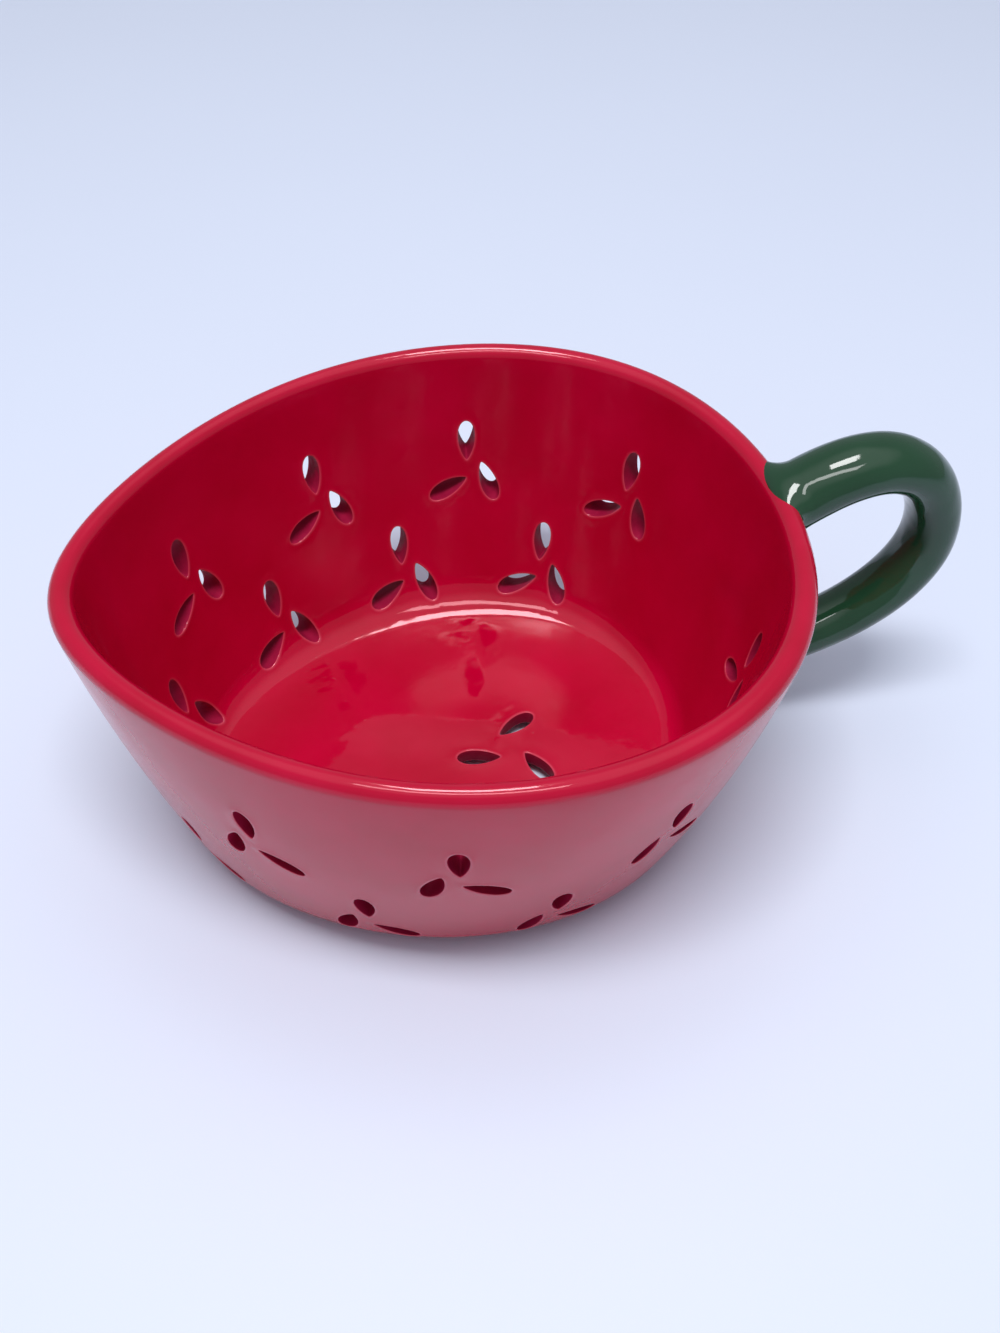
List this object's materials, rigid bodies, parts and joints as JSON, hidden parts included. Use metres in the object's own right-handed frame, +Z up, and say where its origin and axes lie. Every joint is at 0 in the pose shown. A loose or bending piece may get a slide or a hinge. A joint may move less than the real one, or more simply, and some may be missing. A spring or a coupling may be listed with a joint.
{
  "type": "berry bowl",
  "caption": "Egg-plan glazed ceramic bowl with seed-shaped drain holes in trios and a looped side handle, for rinsing and serving berries.",
  "frame": {"origin": "middle of the object's box in plan, on the surface that the foot ring stands on", "axes": "+X toward the handle, +Z up out of the bowl, +Y across"},
  "size_m": [0.2114, 0.1504, 0.0855],
  "materials": {
    "red_glaze": "deep red gloss glaze, thinner and lighter on the lip and hole edges",
    "green_glaze": "dark green gloss glaze",
    "green_slip": "luting slip under the same dark green glaze",
    "bare_clay": "matt unglazed clay"
  },
  "bodies": {
    "root": {"bowl_body": "red_glaze", "foot_ring": "bare_clay", "handle": "green_glaze", "upper_slip_pad": "green_slip", "lower_slip_pad": "green_slip"}
  },
  "joints": []
}
